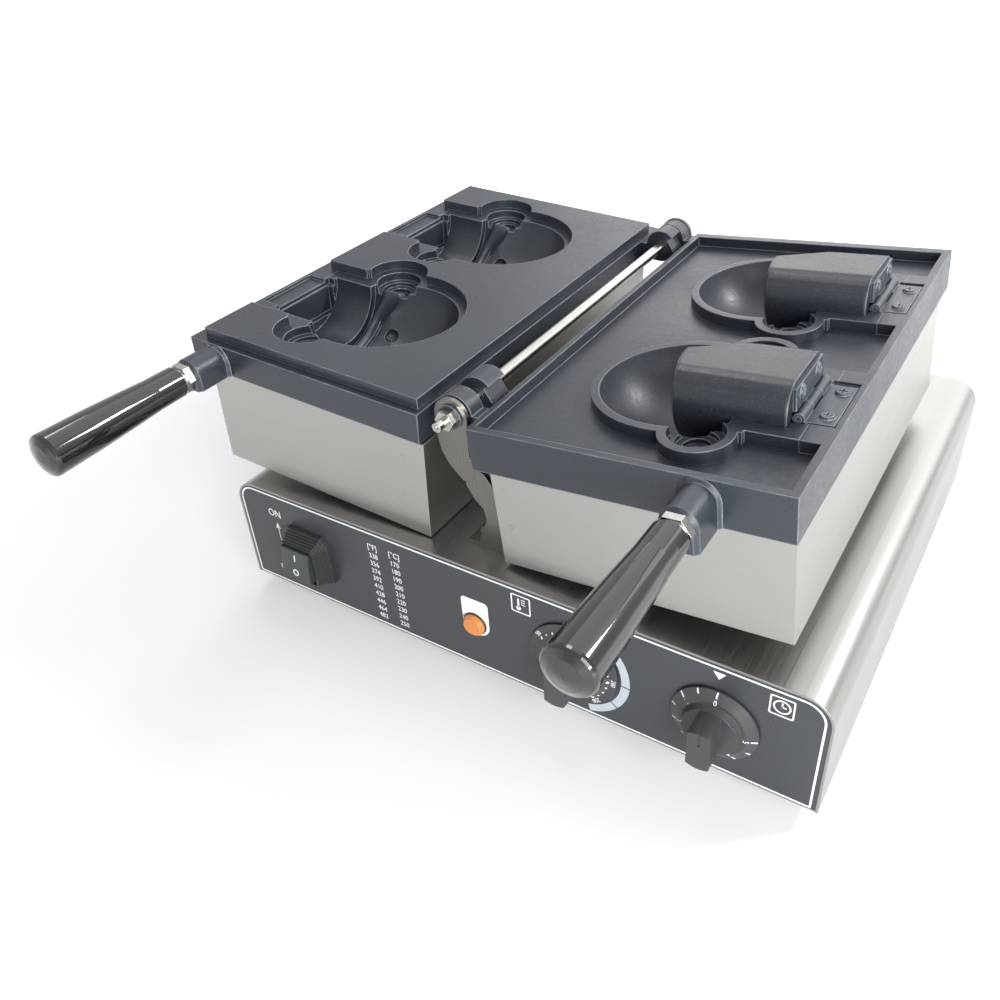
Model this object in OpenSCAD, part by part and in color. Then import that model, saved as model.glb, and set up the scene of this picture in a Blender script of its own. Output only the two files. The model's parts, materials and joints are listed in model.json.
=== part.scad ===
// Two-cavity waffle cone maker: base with controls, two hinged mould halves and two hinged cores.
// Millimetres, +Z up. The origin is the middle of the outer box at the resting surface;
// row() moves everything there from the middle of the four feet.
// Each mould half is drawn in hinge coordinates (x from the shaft, y from the base front,
// z from the mating plane) and leaned back by its own tilt.

/* [Base] */
// outer width of the base box
base_w = 420; // [380:1:480]
// outer depth of the base box
base_d = 358; // [350:1:400]
// height of the base box above its feet
base_h = 84; // [78:1:100]
// radius of the two upper long edges of the base sheet
base_r = 17; // [12:1:22]
// thickness of the base sheet
sheet_t = 1.5; // [1.2:0.1:2]
// height of the rubber feet
foot_h = 12; // [8:1:20]
// diameter of the rubber feet
foot_d = 28; // [20:1:34]
// distance of the foot centres from the base edges
foot_inset = 40; // [30:1:60]

/* [Hinge] */
// shaft position left of the base centre
hinge_left = 28.5; // [25:0.5:35]
// shaft height above the underside of the base box
hinge_up = 174.3; // [172:0.1:180]
// shaft diameter
shaft_d = 8; // [7:0.5:9]
// radius of the cast lugs round the shaft
lug_r = 12; // [10:0.5:12.5]
// radius of the bracket heads
bracket_r = 11.5; // [10:0.5:12]
// thickness of the shaft brackets
bracket_t = 3; // [2:0.5:4]
// lean of the left half above level, degrees
tilt_l = 2.8; // [2:0.1:3.5]
// lean of the right half above level, degrees
tilt_r = 5.2; // [4:0.1:6]

/* [Mould halves] */
// distance from the shaft to the outer edge of a plate
plate_out = 202.5; // [200:0.5:206]
// front edge of the plates behind the base front
plate_y0 = 11.5; // [8:0.5:13]
// rear edge of the plates behind the base front
plate_y1 = 334; // [330:0.5:338]
// edge depth of the left plate
plate_l_t = 20.5; // [18:0.5:24]
// edge depth of the right plate
plate_r_t = 27; // [24:0.5:30]
// height of the raised block of the left plate
block_h = 7; // [6:0.25:8]
// total gap left between the closed mating faces
mate_gap = 0.3; // [0.2:0.05:0.5]
// depth of the housings below the mating plane
house_down = 90; // [84:0.5:90]
// rear wall of the housings behind the base front
house_y1 = 306; // [300:1:316]
// housing sheet thickness
house_t = 1.5; // [1:0.25:2]

/* [Cavities] */
// distance between the two fish cavities
pitch = 144; // [144:0.5:146]
// radius of the fish body at the mating plane
body_r = 49.5; // [46:0.5:50]
// depth of the fish body in each plate
body_dep = 37.5; // [36:0.5:40]
// width of the raised rim round each cavity
rim_w = 5; // [4:0.5:5]
// radius of the fin pockets
fin_r = 15.7; // [13:0.1:16]
// radius of the mouth part of the cavity
mouth_r = 37; // [35:0.5:37]
// radius of the mouth core
core_r = 30.5; // [28:0.25:31]
// radial gap between a core and its seat
seat_gap = 0.3; // [0.2:0.05:0.5]
// height of the flat on top of a core above the mating plane
core_top = 20.5; // [19.5:0.5:22]

/* [Handles] */
// length of the black grips
grip_len = 100; // [90:1:125]
// largest radius of the grips
grip_r = 13.5; // [12.5:0.1:14]
// radius of the grips at the boss end
grip_neck_r = 10.2; // [9.5:0.1:11]
// distance of the left handle from the shaft
handle_l_x = 182; // [180:0.5:184]
// distance of the right handle from the shaft
handle_r_x = 153.5; // [148:0.5:154]

/* [Controls] */
// centre height of both knobs above the underside of the base box
knob_z = 39.5; // [36:0.5:44]
// distance of the temperature knob from the base centre
temp_x = 60; // [50:1:70]
// distance of the timer knob from the base centre
timer_x = 148.5; // [140:0.5:155]
// skirt radius of both knobs
skirt_r = 25.5; // [22:0.5:27]
// depth of the knob wings in front of the panel
knob_dep = 24; // [20:0.5:28]
// distance of the switch left of the base centre
switch_x = 148; // [135:1:155]
// centre height of the switch
switch_z = 39.5; // [38:0.5:46]
// width of the translucent switch button
button_w = 24.6; // [22:0.2:25]
// height of the translucent switch button
button_h = 23.6; // [22:0.2:24]
// angle of the button to either side of its middle, degrees
rocker_tilt = 7; // [5:0.5:8]
// distance of the lamp left of the base centre
lamp_x = 10.5; // [4:0.5:20]
// centre height of the lamp
lamp_z = 38.5; // [34:0.5:44]

/* [Hidden] */
$fn = 48;
e = 0.02;
run = 0.05;
xh = -hinge_left;
zh = hinge_up + foot_h;
yf = -base_d / 2;
top_z = foot_h + base_h;
in_w = base_w - 2 * sheet_t;
plate_in_l = 17.5;
plate_in_r = 16.4;
g2 = mate_gap / 2;
tray_dep = block_h + 0.4;
tray_x0 = 20.2;
tray_x1 = plate_out - 5;
tray_y0 = plate_y0 + 4.8;
tray_y1 = plate_y1 - 7;
block_x0 = 20.6;
block_x1 = plate_out - 9.5;
block_y0 = tray_y0 + 0.4;
block_y1 = plate_y1 - 11;
cav_y = (plate_y0 + plate_y1) / 2 - pitch / 2 - 1.2;
cav_x = 109.5;
rim_r = body_r + rim_w;
rim_gap = 0.7;
fin_x = 136;
fin_y = 48.5;
land_x = 158;
land_w = 39.5;
seat_x0 = 148;
seat_x1 = 177.5;
core_x1 = 177;
core_x0 = 106;
core_nose_r = 60;
core_taper = 35;
core_taper_at = [124, 9.5];
pod_dep = body_dep + 6.5;
pod_lip = 4;
fin_dep = 12;
insert_x1 = seat_x1 + 9;
clamp_x = [104, 144];
fit_gap = 0.06;
slab_l = 10;
slab_r = 15;
skirt_w = 9;
leaf_screw_x = plate_out - 10;
eye_x = 126;
pin_x = core_x1 + 3.6;
pin_z = 1.2;
pin_r = 1.6;
knuckle_r = 3.2;
leaf_t = 2;
leaf_w = 21.5;
leaf_top = 17.5;
house_l0 = 15;
house_l1 = 188.5;
house_r0 = 28;
house_r1 = plate_out;
boss_r = 10.5;
boss_y = -14;
boss_edge = 2.5;
nut_t = 5;
grip_y1 = boss_y - 7;
grip_y0 = grip_y1 - grip_len;
handle_l_z = -11;
handle_r_z = -12.7;
key_w = 14;
key_d = 11;
screw_r = 2.5;
lug1_y = [24.3, 36];
lug2_y = [47, 64];
lug3_y = [301, 315.5];
lug4_y = [317, 329];
brk_y = 20;
brk2_y = 331;
bolt_r = 2;
clamp_t = 2;
heat_r = 4;
rocker_y = 2;
rocker_pin_r = 1.6;
button_out = 16.5;
flange_w = 41;
flange_h = 43;
boot_steps = 5;
boot_in = 1.15;
boot_dep = 1.7;

// middle of the outer box: outer corner of the left plate to the base side, grips to gland
org_x = (base_w / 2 + xh - plate_out * cos(tilt_l) - plate_l_t * sin(tilt_l)) / 2;
gland_len = 15;
org_y = ((yf + grip_y0) + (-yf - 1 + gland_len)) / 2;

// ---- placing helpers ----
module row() {
    translate([-org_x, -org_y, 0]) children();
}

module in_left() {
    translate([xh, yf, zh]) rotate([0, tilt_l, 0]) children();
}

module in_right() {
    translate([xh, yf, zh]) rotate([0, -tilt_r, 0]) children();
}

module cyl_x(x0, x1, r) {
    translate([x0, 0, 0]) rotate([0, 90, 0]) cylinder(r = r, h = x1 - x0);
}

module cyl_y(y0, y1, r) {
    translate([0, y0, 0]) rotate([-90, 0, 0]) cylinder(r = r, h = y1 - y0);
}

module cone_y(y0, y1, r0, r1) {
    translate([0, y0, 0]) rotate([-90, 0, 0]) cylinder(r1 = r0, r2 = r1, h = y1 - y0);
}

module hex_y(y0, y1, af) {
    translate([0, y0, 0]) rotate([-90, 0, 0]) cylinder(r = af / sqrt(3), h = y1 - y0, $fn = 6);
}

module box(x0, x1, y0, y1, z0, z1) {
    translate([x0, y0, z0]) cube([x1 - x0, y1 - y0, z1 - z0]);
}

module at_feet() {
    for (sx = [-1, 1], sy = [-1, 1])
        translate([sx * (base_w / 2 - foot_inset), sy * (base_d / 2 - foot_inset), 0])
            children();
}

// ---- base ----
module base_outline(shrink) {
    r = base_r - shrink;
    w = base_w / 2 - shrink;
    union() {
        translate([-w, 0]) square([2 * w, base_h - base_r]);
        translate([-w + r, 0]) square([2 * (w - r), base_h - shrink]);
        for (s = [-1, 1])
            translate([s * (w - r), base_h - base_r]) circle(r = r, $fn = 64);
    }
}

module base_slab(y0, y1, shrink) {
    translate([0, y1, foot_h]) rotate([90, 0, 0]) linear_extrude(height = y1 - y0)
        base_outline(shrink);
}

module base_shell() {
    color([0.75, 0.75, 0.74]) row()
    difference() {
        base_slab(yf + e, -yf, 0);
        base_slab(yf - 1, -yf + 1, sheet_t);
        translate([0, 0, foot_h - 1]) cube([in_w, base_d + 4, 2 + e], center = true);
        for (s = [0, 1], dx = [-bolt_dx, bolt_dx])
            translate([xh + foot_cx + dx, bolt_y(s), top_z]) cylinder(r = bolt_r + run, h = 9,
                center = true);
        at_pads() translate([0, 0, top_z]) cylinder(r = 3 + run, h = 8, center = true);
    }
}

module front_holes(y0, y1) {
    translate([temp_x, 0, foot_h + knob_z]) cyl_y(y0, y1, 4.5 + run);
    translate([timer_x, 0, foot_h + knob_z]) cyl_y(y0, y1, 4.5 + run);
    translate([-lamp_x, 0, foot_h + lamp_z]) cyl_y(y0, y1, 6 + run);
    box(-switch_x - 13 - run, -switch_x + 13 + run, y0, y1,
        foot_h + switch_z - 15 - run, foot_h + switch_z + 15 + run);
}

panel_t = 1.5;
over_t = 0.5;

module front_panel() {
    color([0.7, 0.7, 0.7]) row()
    difference() {
        base_slab(yf + over_t, yf + over_t + panel_t, sheet_t);
        front_holes(yf - 1, yf + 4);
        box(-in_w / 2, in_w / 2, yf - 1, yf + 4, foot_h - 1, foot_h + sheet_t);
    }
}

module panel_overlay() {
    color([0.3, 0.31, 0.33]) row()
    difference() {
        base_slab(yf, yf + over_t, sheet_t);
        front_holes(yf - 1, yf + 4);
        box(-in_w / 2, in_w / 2, yf - 1, yf + 4, foot_h - 1, foot_h + sheet_t);
    }
}

module rear_panel() {
    color([0.7, 0.7, 0.7]) row()
    difference() {
        base_slab(-yf - panel_t - 1, -yf - 1, sheet_t);
        translate([gland_x, 0, foot_h + gland_z]) cyl_y(-yf - 6, -yf + 2, 8 + run);
        box(-in_w / 2, in_w / 2, -yf - 6, -yf + 4, foot_h - 1, foot_h + sheet_t);
        for (i = [0 : 6], j = [0, 1])
            box(-150 + i * 14, -144 + i * 14, -yf - 6, -yf + 4,
                foot_h + 22 + j * 24, foot_h + 38 + j * 24);
    }
}

module bottom_plate() {
    color([0.68, 0.68, 0.68]) row()
    difference() {
        box(-in_w / 2 + 0.2, in_w / 2 - 0.2, yf + over_t, -yf - 1, foot_h, foot_h + sheet_t);
        at_feet() translate([0, 0, foot_h - 2]) cylinder(r = screw_r + run, h = 8);
        for (i = [-3 : 3])
            box(-60 + i * 22 - 3, -60 + i * 22 + 3, -70, 70, foot_h - 1, foot_h + 3);
    }
}

module feet() {
    color([0.08, 0.08, 0.08]) row()
    at_feet() difference() {
        cylinder(r1 = foot_d / 2 - 2, r2 = foot_d / 2, h = foot_h);
        translate([0, 0, -1]) cylinder(r = screw_r + run, h = foot_h + 2);
        translate([0, 0, -1]) cylinder(r = 6, h = 5);
    }
}

module foot_screws() {
    color([0.6, 0.6, 0.6]) row()
    at_feet() {
        translate([0, 0, 1.8]) cylinder(r = 4.5, h = 2.2);
        translate([0, 0, 3]) cylinder(r = screw_r, h = foot_h + 4.5);
        translate([0, 0, foot_h + sheet_t]) cylinder(r = 4.6, h = 3.5, $fn = 6);
    }
}

// ---- rest pads under the housings ----
function left_gap(x) = zh + x * sin(tilt_l) - house_down * cos(tilt_l) - top_z;
function right_gap(x) = zh + x * sin(tilt_r) - house_down * cos(tilt_r) - top_z;
pad_r = 9;
pad_l_x = 150;
pad_r_x = 150;
pad_y = [60, 262];

module at_pads() {
    for (y = pad_y) {
        translate([xh - pad_l_x, yf + y, 0]) children();
        translate([xh + pad_r_x, yf + y, 0]) children();
    }
}

module rest_pads() {
    color([0.1, 0.1, 0.1]) row()
    for (y = pad_y) {
        translate([xh - pad_l_x, yf + y, top_z])
            cylinder(r = pad_r, h = left_gap(pad_l_x - pad_r - 1) - 0.6);
        translate([xh - pad_l_x, yf + y, top_z - 3.5]) cylinder(r = 3, h = 4);
        translate([xh + pad_r_x, yf + y, top_z])
            cylinder(r = pad_r, h = right_gap(pad_r_x - pad_r - 1) - 0.6);
        translate([xh + pad_r_x, yf + y, top_z - 3.5]) cylinder(r = 3, h = 4);
    }
}

// ---- shaft and its brackets ----
foot_cx = 17;
foot_hw = 13;
bolt_dx = 7;
function bolt_y(s) = s == 0 ? yf + brk_y + 11 : yf + brk2_y - 8;

module bracket_plate() {
    down = zh - top_z;
    linear_extrude(height = bracket_t) difference() {
        union() {
            circle(r = bracket_r);
            polygon([[-bracket_r, 0], [-bracket_r + 0.4, -16], [-9, -26], [-3.7, -35], [4.8, -43],
                [11.4, -54], [17.7, -60], [19, -68], [13, -down + 8], [13, -down],
                [foot_cx + foot_hw, -down], [foot_cx + foot_hw, -down + 8], [28.5, -60],
                [27, -46], [24.1, -39.6], [19.4, -33.6], [13.6, -30.9], [10.6, -24],
                [bracket_r - 1, -14], [bracket_r, 0]]);
        }
        circle(r = shaft_d / 2 + run);
        translate([2.2, -45.3]) translate([3.2, 1.2]) circle(r = 1.1);
    }
}

module bracket(back) {
    y = back ? yf + brk2_y + bracket_t : yf + brk_y + bracket_t;
    color([0.78, 0.78, 0.76]) row()
    difference() {
        union() {
            translate([xh, y, zh]) rotate([90, 0, 0]) bracket_plate();
            translate([xh + foot_cx - foot_hw, back ? yf + brk2_y - 16 + e : yf + brk_y + e, top_z])
                cube([2 * foot_hw, 16 + bracket_t - 2 * e, bracket_t]);
        }
        for (dx = [-bolt_dx, bolt_dx])
            translate([xh + foot_cx + dx, bolt_y(back ? 1 : 0), top_z])
                cylinder(r = bolt_r + run, h = 20, center = true);
    }
}

module front_bracket() {
    bracket(false);
}

module rear_bracket() {
    bracket(true);
}

module bracket_bolts() {
    color([0.6, 0.6, 0.6]) row()
    for (s = [0, 1], dx = [-bolt_dx, bolt_dx])
        translate([xh + foot_cx + dx, bolt_y(s), top_z]) {
            translate([0, 0, bracket_t]) cylinder(r = 3.6, h = 2.2);
            translate([0, 0, -9]) cylinder(r = bolt_r, h = 10 + bracket_t);
            translate([0, 0, -sheet_t - 3.2]) cylinder(r = 4, h = 3.2, $fn = 6);
        }
}

module hinge_shaft() {
    color([0.85, 0.85, 0.84]) row()
    translate([xh, yf, zh]) difference() {
        union() {
            cyl_y(brk_y - 6.5, brk2_y + bracket_t + 6.5, shaft_d / 2);
            cyl_y(brk_y - 13.5, brk_y, 3);
            cyl_y(brk2_y, brk2_y + bracket_t + 10.5, 3);
        }
        cyl_y(brk_y - 14, brk_y - 12, 1.3);
        cyl_y(brk2_y + bracket_t + 8.5, brk2_y + bracket_t + 11, 1.3);
    }
}

module shaft_nuts() {
    color([0.8, 0.8, 0.8]) row()
    translate([xh, yf, zh]) {
        difference() {
            hex_y(brk_y - 6.5, brk_y - 1.2, 11);
            cyl_y(brk_y - 7, brk_y, shaft_d / 2 + run);
        }
        difference() {
            hex_y(brk2_y + bracket_t + 1.2, brk2_y + bracket_t + 6.5, 11);
            cyl_y(brk2_y, brk2_y + bracket_t + 8, shaft_d / 2 + run);
        }
    }
}

module washer(y0, y1, r) {
    difference() {
        cyl_y(y0, y1, r);
        cyl_y(y0 - 1, y1 + 1, shaft_d / 2 + run);
    }
}

module shaft_washers() {
    color([0.25, 0.25, 0.26]) row()
    translate([xh, yf, zh]) {
        washer(brk_y - 1.2, brk_y, 8);
        washer(brk2_y + bracket_t, brk2_y + bracket_t + 1.2, 8);
        washer(brk_y + bracket_t, lug1_y[0] - 0.3, 10);
        washer(lug4_y[1] + 0.3, brk2_y, 12.6);
    }
}

// ---- controls ----
module switch_body() {
    color([0.1, 0.1, 0.1]) row()
    translate([-switch_x, yf, foot_h + switch_z]) difference() {
        union() {
            box(-13, 13, 0, 30, -15, 15);
            box(-flange_w / 2 + 4, flange_w / 2 - 4, -2.5, -e, -flange_h / 2 + 4,
                flange_h / 2 - 4);
            box(-13, 13, -e, 0, -15, 15);
            for (x = [-7, 7], z = [-9, 9])
                box(x - 0.4, x + 0.4, 29, 38, z - 3.2, z + 3.2);
        }
        box(-8.5, 8.5, -3, 12, -13.4, 13.4);
        rotate([0, 90, 0]) translate([0, rocker_y, 0])
            cylinder(r = rocker_pin_r + run, h = 24, center = true);
    }
}

// one step of the boot: half width, half height, corner cut, depth range
module boot_step(hw, hh, chamfer, y0, y1) {
    translate([0, y1, 0]) rotate([90, 0, 0]) linear_extrude(height = y1 - y0) polygon([
        [-hw, -hh + chamfer], [-hw + chamfer, -hh], [hw - chamfer, -hh], [hw, -hh + chamfer],
        [hw, hh - chamfer], [hw - chamfer, hh], [-hw + chamfer, hh], [-hw, hh - chamfer]]);
}

module switch_boot() {
    color([0.12, 0.13, 0.13]) row()
    translate([-switch_x, yf, foot_h + switch_z]) difference() {
        union() {
            difference() {
                boot_step(flange_w / 2, flange_h / 2, 6, -4, 0);
                box(-flange_w / 2 + 4, flange_w / 2 - 4, -2.5, 1, -flange_h / 2 + 4,
                    flange_h / 2 - 4);
            }
            for (i = [0 : boot_steps - 1])
                boot_step(flange_w / 2 - 1.4 - i * boot_in, flange_h / 2 - 1.4 - i * boot_in,
                    5 - 0.75 * i, -4 - (i + 1) * boot_dep, -4 - i * boot_dep + e);
        }
        box(-button_w / 2 - 0.5, button_w / 2 + 0.5, -16, 1, -button_h / 2 - 2.2,
            button_h / 2 + 2.2);
    }
}

module rocker() {
    color([0.35, 0.42, 0.38]) row()
    translate([-switch_x, yf + rocker_y, foot_h + switch_z]) rotate([-rocker_tilt, 0, 0]) union() {
        box(-button_w / 2, button_w / 2, -button_out - rocker_y, -9 - rocker_y, -button_h / 2,
            button_h / 2);
        box(-8.1, 8.1, -10 - rocker_y, 3.4, -9, 9);
        rotate([0, 90, 0]) cylinder(r = rocker_pin_r, h = 23.6, center = true);
    }
}

module lamp_body() {
    color([0.15, 0.15, 0.15]) row()
    translate([-lamp_x, yf, foot_h + lamp_z]) difference() {
        union() {
            cyl_y(-1, 0, 8.4);
            cyl_y(-e, 22, 6);
            cyl_y(over_t + panel_t, over_t + panel_t + 3, 8);
            for (x = [-3, 3]) box(x - 0.4, x + 0.4, 21, 29, -1.6, 1.6);
        }
        cyl_y(-2, 6, 5 + run);
    }
}

module lamp_lens() {
    color([0.9, 0.5, 0.15]) row()
    translate([-lamp_x, yf, foot_h + lamp_z]) union() {
        cyl_y(-1, 5.9, 5);
        cyl_y(-3, -1, 7.8);
        cone_y(-4.6, -3, 6, 7.8);
    }
}

// thermostat behind the panel, from the middle of its bush
module thermostat() {
    translate([temp_x, yf + over_t + panel_t, foot_h + knob_z]) difference() {
        union() {
            box(-18, 18, 0, 22, -20, 20);
            cyl_y(-over_t - panel_t - 3.5, e, 4.5);
            box(-14, -8, 21, 29, -3, 3);
            box(8, 14, 21, 29, -3, 3);
        }
        cyl_y(-10, 16, 3 + run);
    }
}

module temp_spindle() {
    color([0.7, 0.7, 0.68]) row()
    translate([temp_x, yf, foot_h + knob_z]) union() {
        cyl_y(-18, 16, 3);
    }
}

// timer behind the panel, from the middle of its bush
module timer() {
    translate([timer_x, yf + over_t + panel_t, foot_h + knob_z]) difference() {
        union() {
            box(-24, 24, 0, 30, -24, 24);
            cyl_y(-over_t - panel_t - 3.5, e, 4.5);
            translate([0, 0, 4]) cyl_y(29, 42, 16);
        }
        cyl_y(-10, 16, 3 + run);
    }
}

module control_bodies() {
    color([0.55, 0.55, 0.5]) row() {
        thermostat();
        timer();
    }
}

module timer_spindle() {
    color([0.7, 0.7, 0.68]) row()
    translate([timer_x, yf, foot_h + knob_z]) union() {
        cyl_y(-18, 16, 3);
    }
}

module bush_nuts() {
    color([0.75, 0.75, 0.7]) row()
    for (x = [temp_x, timer_x])
        translate([x, yf, foot_h + knob_z]) difference() {
            hex_y(-2.4, 0, 13);
            cyl_y(-4, 1, 4.5 + run);
        }
}

module knob_shape() {
    difference() {
        union() {
            cyl_y(-2, -0.6, skirt_r);
            cone_y(-5.2, -2 + e, skirt_r - 6, skirt_r);
            cone_y(-9, -5.2 + e, 16, 17.5);
            difference() {
                intersection() {
                    box(-6.6, 6.6, -knob_dep, -8, -20, 20);
                    cone_y(-knob_dep, -4, 13.6, 16.6);
                }
                for (s = [-1, 1])
                    translate([s * 33.4, 0, 0]) rotate([0, 0, s * 3])
                        cube([56, 2.2 * knob_dep, 60], center = true);
            }
        }
        cyl_y(-19, 1, 3 + run);
        cyl_y(-4.2, 1, 8.4);
        translate([0, 0, 12.2]) box(-0.7, 0.7, -knob_dep - 1, -knob_dep + 0.5, -8, 3);
    }
}

module temp_knob() {
    color([0.08, 0.08, 0.08]) row()
    translate([temp_x, yf, foot_h + knob_z]) knob_shape();
}

module timer_knob() {
    color([0.08, 0.08, 0.08]) row()
    translate([timer_x, yf, foot_h + knob_z]) knob_shape();
}

module terminal_block() {
    color([0.85, 0.83, 0.76]) row()
    translate([gland_x, -yf - 60, foot_h + sheet_t]) difference() {
        union() {
            box(-32, 32, -11, 11, 0, 10);
            for (i = [-2 : 2]) box(i * 13 - 1, i * 13 + 1, -11, 11, 10 - e, 17);
        }
        for (i = [-1.5 : 1.5]) translate([i * 13, 0, 5]) cylinder(r = 2.4, h = 8);
    }
}

gland_x = 150;
gland_z = 30;

module cable_gland() {
    color([0.1, 0.1, 0.1]) row()
    translate([gland_x, -yf - 1, foot_h + gland_z]) difference() {
        union() {
            cyl_y(-12, 0.5, 8);
            hex_y(0, 5, 22);
            cyl_y(5 - e, 11, 9.4);
            cone_y(11 - e, gland_len, 9.4, 7);
        }
        cyl_y(-14, 17, 4.6);
    }
}

module gland_nut() {
    color([0.12, 0.12, 0.12]) row()
    translate([gland_x, -yf - 1 - panel_t, foot_h + gland_z]) difference() {
        hex_y(-5, 0, 20);
        cyl_y(-6, 1, 8 + run);
    }
}

// ---- shared pieces of the mould halves; m = -1 left, +1 right ----
module mx(m) {
    if (m < 0) {
        mirror([1, 0, 0]) children();
    } else {
        children();
    }
}

module at_cavs() {
    for (i = [0, 1]) translate([0, cav_y + i * pitch, 0]) children();
}

module rim_plan(grow) {
    union() {
        translate([cav_x, 0]) circle(r = rim_r + grow, $fn = 96);
        for (s = [-1, 1])
            translate([fin_x, s * fin_y]) circle(r = fin_r + rim_w + grow, $fn = 64);
        translate([cav_x, -mouth_r - rim_w - grow])
            square([land_x + grow - cav_x, 2 * (mouth_r + rim_w + grow)]);
    }
}

// outline of a cavity insert: the rim plan with the land beside the core
module insert_plan(grow) {
    union() {
        rim_plan(grow);
        translate([cav_x, -land_w - grow]) square([insert_x1 - cav_x, 2 * (land_w + grow)]);
    }
}

module fish_cut() {
    ball_r = (body_r * body_r + body_dep * body_dep) / (2 * body_dep);
    translate([cav_x, 0, ball_r - body_dep]) intersection() {
        sphere(r = ball_r, $fn = 96);
        translate([0, 0, -ball_r]) cube([3 * ball_r, 3 * ball_r, 2 * body_dep], center = true);
    }
    cyl_x(cav_x - 4, seat_x0 - 10, mouth_r);
    cyl_x(seat_x0 - 10 - e, seat_x0 - 7, mouth_r - 2.6);
    cyl_x(seat_x0 - 7 - e, seat_x0, mouth_r - 1.2);
    for (s = [-1, 1]) translate([fin_x, s * fin_y, 0]) {
        translate([0, 0, -6]) cylinder(r = fin_r, h = 7);
        translate([0, 0, -9]) cylinder(r = fin_r - 4, h = 7);
        translate([0, 0, -fin_dep]) cylinder(r = fin_r - 8, h = 7);
    }
}

// body of an insert: a plug through the slab and a thicker pod below it
module insert_body(grow, slab, top) {
    difference() {
        union() {
            translate([0, 0, -slab - e]) linear_extrude(height = slab + top + e) insert_plan(grow);
            translate([cav_x, 0, -pod_dep]) cylinder(r = rim_r + pod_lip, h = pod_dep - slab,
                $fn = 72);
            box(cav_x, insert_x1, -mouth_r - pod_lip - 5, mouth_r + pod_lip + 5, -pod_dep, -slab);
            for (s = [-1, 1])
                translate([fin_x, s * fin_y, -fin_dep - 6]) cylinder(r = fin_r + pod_lip,
                    h = fin_dep + 6 - slab);
        }
        for (x = clamp_x)
            translate([x, 0, -pod_dep - 1]) cylinder(r = screw_r + run, h = 6.6);
    }
}

module posts(x0, x1, z0) {
    for (x = [x0 + 14, x1 - 14], y = [plate_y0 + 16, house_y1 - 9.5])
        translate([x, y, z0]) children();
}

// handle boss in front of a plate, keyed into a slot in its front edge
module handle_boss(x, z, low) {
    y1 = plate_y0;
    r0 = boss_r - boss_edge;
    grow = y1 + 1 - boss_y;
    difference() {
        union() {
            intersection() {
                union() {
                    translate([x, 0, z]) cyl_y(boss_y, y1, boss_r);
                    box(x - boss_r, x + boss_r, boss_y, y1, -low, z);
                }
                union() {
                    translate([x, boss_y, z]) rotate([-90, 0, 0])
                        cylinder(r1 = r0, r2 = r0 + grow, h = grow);
                    translate([0, 0, -low - 1]) linear_extrude(height = z + low + 1) polygon([
                        [x - r0, boss_y], [x + r0, boss_y], [x + r0 + grow, y1 + 1],
                        [x - r0 - grow, y1 + 1]]);
                }
            }
            // flare where the boss meets the plate
            translate([x, y1 - 2, z]) rotate([-90, 0, 0])
                cylinder(r1 = boss_r, r2 = boss_r + 2, h = 2);
            translate([0, 0, -low]) linear_extrude(height = z + low) polygon([
                [x - boss_r, y1 - 2], [x + boss_r, y1 - 2], [x + boss_r + 2, y1],
                [x - boss_r - 2, y1]]);
            box(x - key_w / 2, x + key_w / 2, y1 - e, y1 + key_d, z - 8, z + 4);
        }
        translate([x, 0, z]) cyl_y(boss_y - 1, y1 - 1.5, 4 + run);
        box(x - boss_r - 4, x + boss_r + 4, y1 - 3, y1 + 1, -g2 - 0.3, boss_r);
    }
}

module boss_slot(x, z) {
    box(x - key_w / 2 - fit_gap, x + key_w / 2 + fit_gap, plate_y0 - 1,
        plate_y0 + key_d + fit_gap, z - 30, z + 4 + fit_gap);
}

module countersink(r) {
    union() {
        translate([0, 0, -e]) cylinder(r1 = 2 * r, r2 = r, h = r + e);
        cylinder(r = r, h = 24);
    }
}

module housing(x0, x1) {
    difference() {
        box(x0, x1, plate_y0 + 0.5, house_y1, -house_down, -plate_t_of(x0));
        box(x0 + house_t, x1 - house_t, plate_y0 + 0.5 + house_t, house_y1 - house_t,
            -house_down + house_t, 1);
        posts(x0, x1, -house_down) countersink(screw_r + run);
        for (i = [0 : 4], j = [0, 1])
            box(x0 + 50 + i * 16, x0 + 54 + i * 16, 90 + j * 80, 130 + j * 80,
                -house_down - 1, -house_down + 3);
    }
}

function plate_t_of(x0) = x0 > 20 ? plate_r_t : plate_l_t;

// long screws from the floor of a housing up into the slab of its plate
module screw_set(x0, x1, slab) {
    posts(x0, x1, -house_down) union() {
        cylinder(r1 = 2 * screw_r, r2 = screw_r, h = screw_r);
        cylinder(r = screw_r, h = house_down - slab + 5.5);
    }
}

module heater() {
    z = -pod_dep - heat_r - run;
    y0 = cav_y - 30;
    y1 = cav_y + pitch + 30;
    for (x = [84, 124, 164]) translate([x, 0, z]) cyl_y(y0, y1, heat_r);
    translate([104, y1, z]) rotate_extrude(angle = 180) translate([20, 0]) circle(r = heat_r);
    translate([144, y0, z]) rotate([0, 0, 180]) rotate_extrude(angle = 180)
        translate([20, 0]) circle(r = heat_r);
    translate([84, 0, z]) cyl_y(y0 - 8, y0 + e, 2.4);
    translate([164, 0, z]) cyl_y(y1 - e, y1 + 8, 2.4);
}

module clamp_at() {
    for (x = clamp_x, y = [cav_y, cav_y + pitch]) translate([x, y, 0]) children();
}

module clamp_plate() {
    z1 = -pod_dep - 2 * heat_r - 2 * run;
    difference() {
        union() {
            box(74, 174, cav_y - 24, cav_y + pitch + 24, z1 - clamp_t, z1);
            clamp_at() translate([0, 0, z1 - e]) cylinder(r = 6, h = 2 * heat_r + 2 * run + e);
        }
        clamp_at() translate([0, 0, z1 - 5]) cylinder(r = screw_r + run, h = 30);
    }
}

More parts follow.
